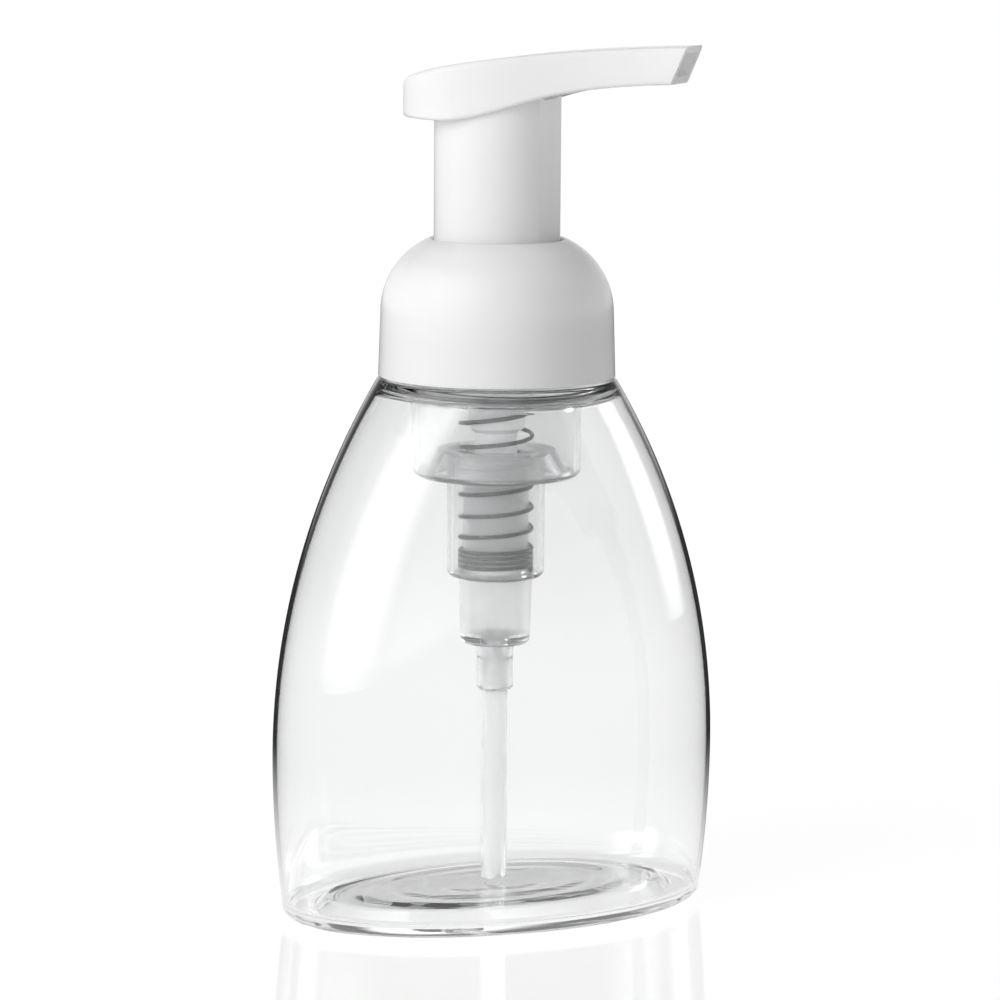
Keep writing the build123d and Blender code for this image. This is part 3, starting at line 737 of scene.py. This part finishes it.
def floor_in_picture(tree, far):
    """Floor as the camera sees it: white, with a faint shadow and a soft mirror image. Seen through the
    bottle beyond the table it glows dimmer, a painted shade that greys the bottle's inside.
    """
    # Dimmer glow beyond the table for rays through the bottle: painted shade
    dimmed = fade(tree, far, *through_edge, floor_glow, through_bottle_painted_shade)
    glow = node(tree, "ShaderNodeEmission", Color=WHITE)
    link(tree, calculate(tree, "MAXIMUM", dimmed, ray(tree, "Is Camera Ray")), glow.inputs["Strength"])
    shadowed = node(tree, "ShaderNodeBsdfDiffuse", Color=floor_shadow)
    lit = node(tree, "ShaderNodeAddShader")
    link(tree, shadowed.outputs["BSDF"], lit.inputs[0])
    link(tree, glow.outputs["Emission"], lit.inputs[1])
    mirror = node(tree, "ShaderNodeBsdfGlossy", Roughness=mirror_roughness)
    return blend(tree, floor_mirror, lit.outputs["Shader"], mirror.outputs["BSDF"])


def floor():
    """Round floor that shows itself differently to the camera, to reflections and to scattered light."""
    mesh = bmesh.new()
    bmesh.ops.create_circle(mesh, cap_ends=True, segments=floor_sides, radius=floor_radius)
    made = put_in_scene("floor", mesh)
    material = surface("floor", Base_Color=floor_colour, Roughness=floor_roughness)
    material.cycles.emission_sampling = "NONE"
    made.data.materials.append(material)
    tree = material.node_tree
    position = node(tree, "ShaderNodeNewGeometry").outputs["Position"]
    far = node(tree, "ShaderNodeVectorMath", operation="LENGTH")
    link(tree, position, far.inputs[0])
    studio = floor_in_studio(tree, far.outputs["Value"], position)
    picture = floor_in_picture(tree, far.outputs["Value"])
    sharp, white = backdrop(tree)
    shown = blend(tree, white, studio, picture)
    chosen = blend(tree, sharp, shader_of(tree).outputs["BSDF"], shown)
    link(tree, chosen, output_of(tree).inputs["Surface"])


def studio_light(tree, white):
    """Brightness of the studio: a white sweep where the picture is white, dark walls and a bright ceiling.

    Reflections also show a white horizon, and a window where the key lamp is.
    """
    direction = node(tree, "ShaderNodeTexCoord").outputs["Generated"]
    split = node(tree, "ShaderNodeSeparateXYZ")
    link(tree, direction, split.inputs["Vector"])
    height = split.outputs["Z"]
    horizon = fade(tree, height, *horizon_edge, 1.0, 0.0)
    horizon = calculate(tree, "MULTIPLY", horizon, horizon_level(tree, direction))
    window = fade(tree, toward(tree, direction, seen_from(*key_place)), *window_edge, 0.0, window_light)
    mirrored = calculate(tree, "MAXIMUM", horizon, window)
    mirrored = calculate(tree, "MULTIPLY", mirrored, ray(tree, "Is Reflection Ray"))
    ceiling = fade(tree, height, *ceiling_edge, studio_dark, ceiling_light)
    sweep = calculate(tree, "MULTIPLY", white, fade(tree, height, *sweep_edge, 1.0, sweep_dark))
    return calculate(tree, "MAXIMUM", sweep, calculate(tree, "MAXIMUM", mirrored, ceiling))


def soft_light(tree):
    """Brightness of the light on the object, stronger for what lies inside the bottle."""
    left_bottle = calculate(tree, "SUBTRACT", ray(tree, "Is Transmission Ray"), ray(tree, "Is Diffuse Ray"))
    return fade(tree, left_bottle, 0.0, 1.0, world_light, inside_light)


def world():
    """Studio for sharp rays, soft light for the rest."""
    made = bpy.data.worlds.new("studio")
    bpy.context.scene.world = made
    made.use_nodes = True
    made.cycles.sampling_method = "NONE"
    tree = made.node_tree
    sharp, white = backdrop(tree)
    soft = tree.nodes["Background"]
    soft.inputs["Color"].default_value = WHITE
    link(tree, soft_light(tree), soft.inputs["Strength"])
    studio = node(tree, "ShaderNodeBackground", Color=WHITE)
    link(tree, studio_light(tree, white), studio.inputs["Strength"])
    chosen = blend(tree, sharp, soft.outputs["Background"], studio.outputs["Background"])
    link(tree, chosen, tree.nodes["World Output"].inputs["Surface"])


def softbox(name, place, size, power):
    """Area lamp that fades towards its edges, placed as the camera sees it and aimed at the object."""
    data = bpy.data.lights.new(name, "AREA")
    data.shape = "RECTANGLE"
    data.size, data.size_y = size
    data.energy = power
    data.use_nodes = True
    tree = data.node_tree
    split = node(tree, "ShaderNodeSeparateXYZ")
    link(tree, node(tree, "ShaderNodeNewGeometry").outputs["Parametric"], split.inputs["Vector"])
    shares = []
    for axis in ("X", "Y"):
        centred = calculate(tree, "SUBTRACT", split.outputs[axis], lamp_centre)
        from_centre = calculate(tree, "ABSOLUTE", centred, 0.0)
        shares.append(fade(tree, from_centre, *lamp_soft_edge, 1.0, 0.0))
    link(tree, calculate(tree, "MULTIPLY", *shares), tree.nodes["Emission"].inputs["Strength"])
    lamp = bpy.data.objects.new(name, data)
    bpy.context.scene.collection.objects.link(lamp)
    lamp.location = seen_from(*place)
    lamp.visible_glossy = False
    aim = Vector((0, 0, lamp_aim_height)) - lamp.location
    lamp.rotation_euler = aim.to_track_quat("-Z", "Y").to_euler()


def camera():
    data = bpy.data.cameras.new("camera")
    data.lens = camera_lens
    data.sensor_width = camera_sensor
    made = bpy.data.objects.new("camera", data)
    bpy.context.scene.collection.objects.link(made)
    made.location = seen_from(camera_side_step, -camera_distance, camera_height)
    aim = seen_from(0, math.cos(camera_tilt_down), -math.sin(camera_tilt_down))
    level = aim.to_track_quat("-Z", "Y").to_matrix()
    made.rotation_euler = (level @ Matrix.Rotation(camera_roll, 3, "Z")).to_euler()
    bpy.context.scene.camera = made


def render_settings():
    """Plain view transform, and enough bounces for the walls of the bottle and the pump."""
    scene = bpy.context.scene
    scene.view_settings.view_transform = "Standard"
    scene.cycles.max_bounces = clear_bounces
    scene.cycles.diffuse_bounces = other_bounces
    scene.cycles.glossy_bounces = other_bounces
    scene.cycles.transmission_bounces = clear_bounces
    scene.cycles.transparent_max_bounces = clear_bounces


makers = (clear_pet, white_pp, natural_pp, milky_pp, soft_pe, silicone, foam_seal, spring_steel,
          polished_steel, nylon_mesh)
materials = {make.__name__: make() for make in makers}
dress(materials)
smooth_bottle(materials["clear_pet"])
return_spring(materials["spring_steel"])
floor()
world()
softbox("key", key_place, key_size, key_power)
softbox("top", top_place, top_size, top_power)
softbox("fill", fill_place, fill_size, fill_power)
camera()
render_settings()
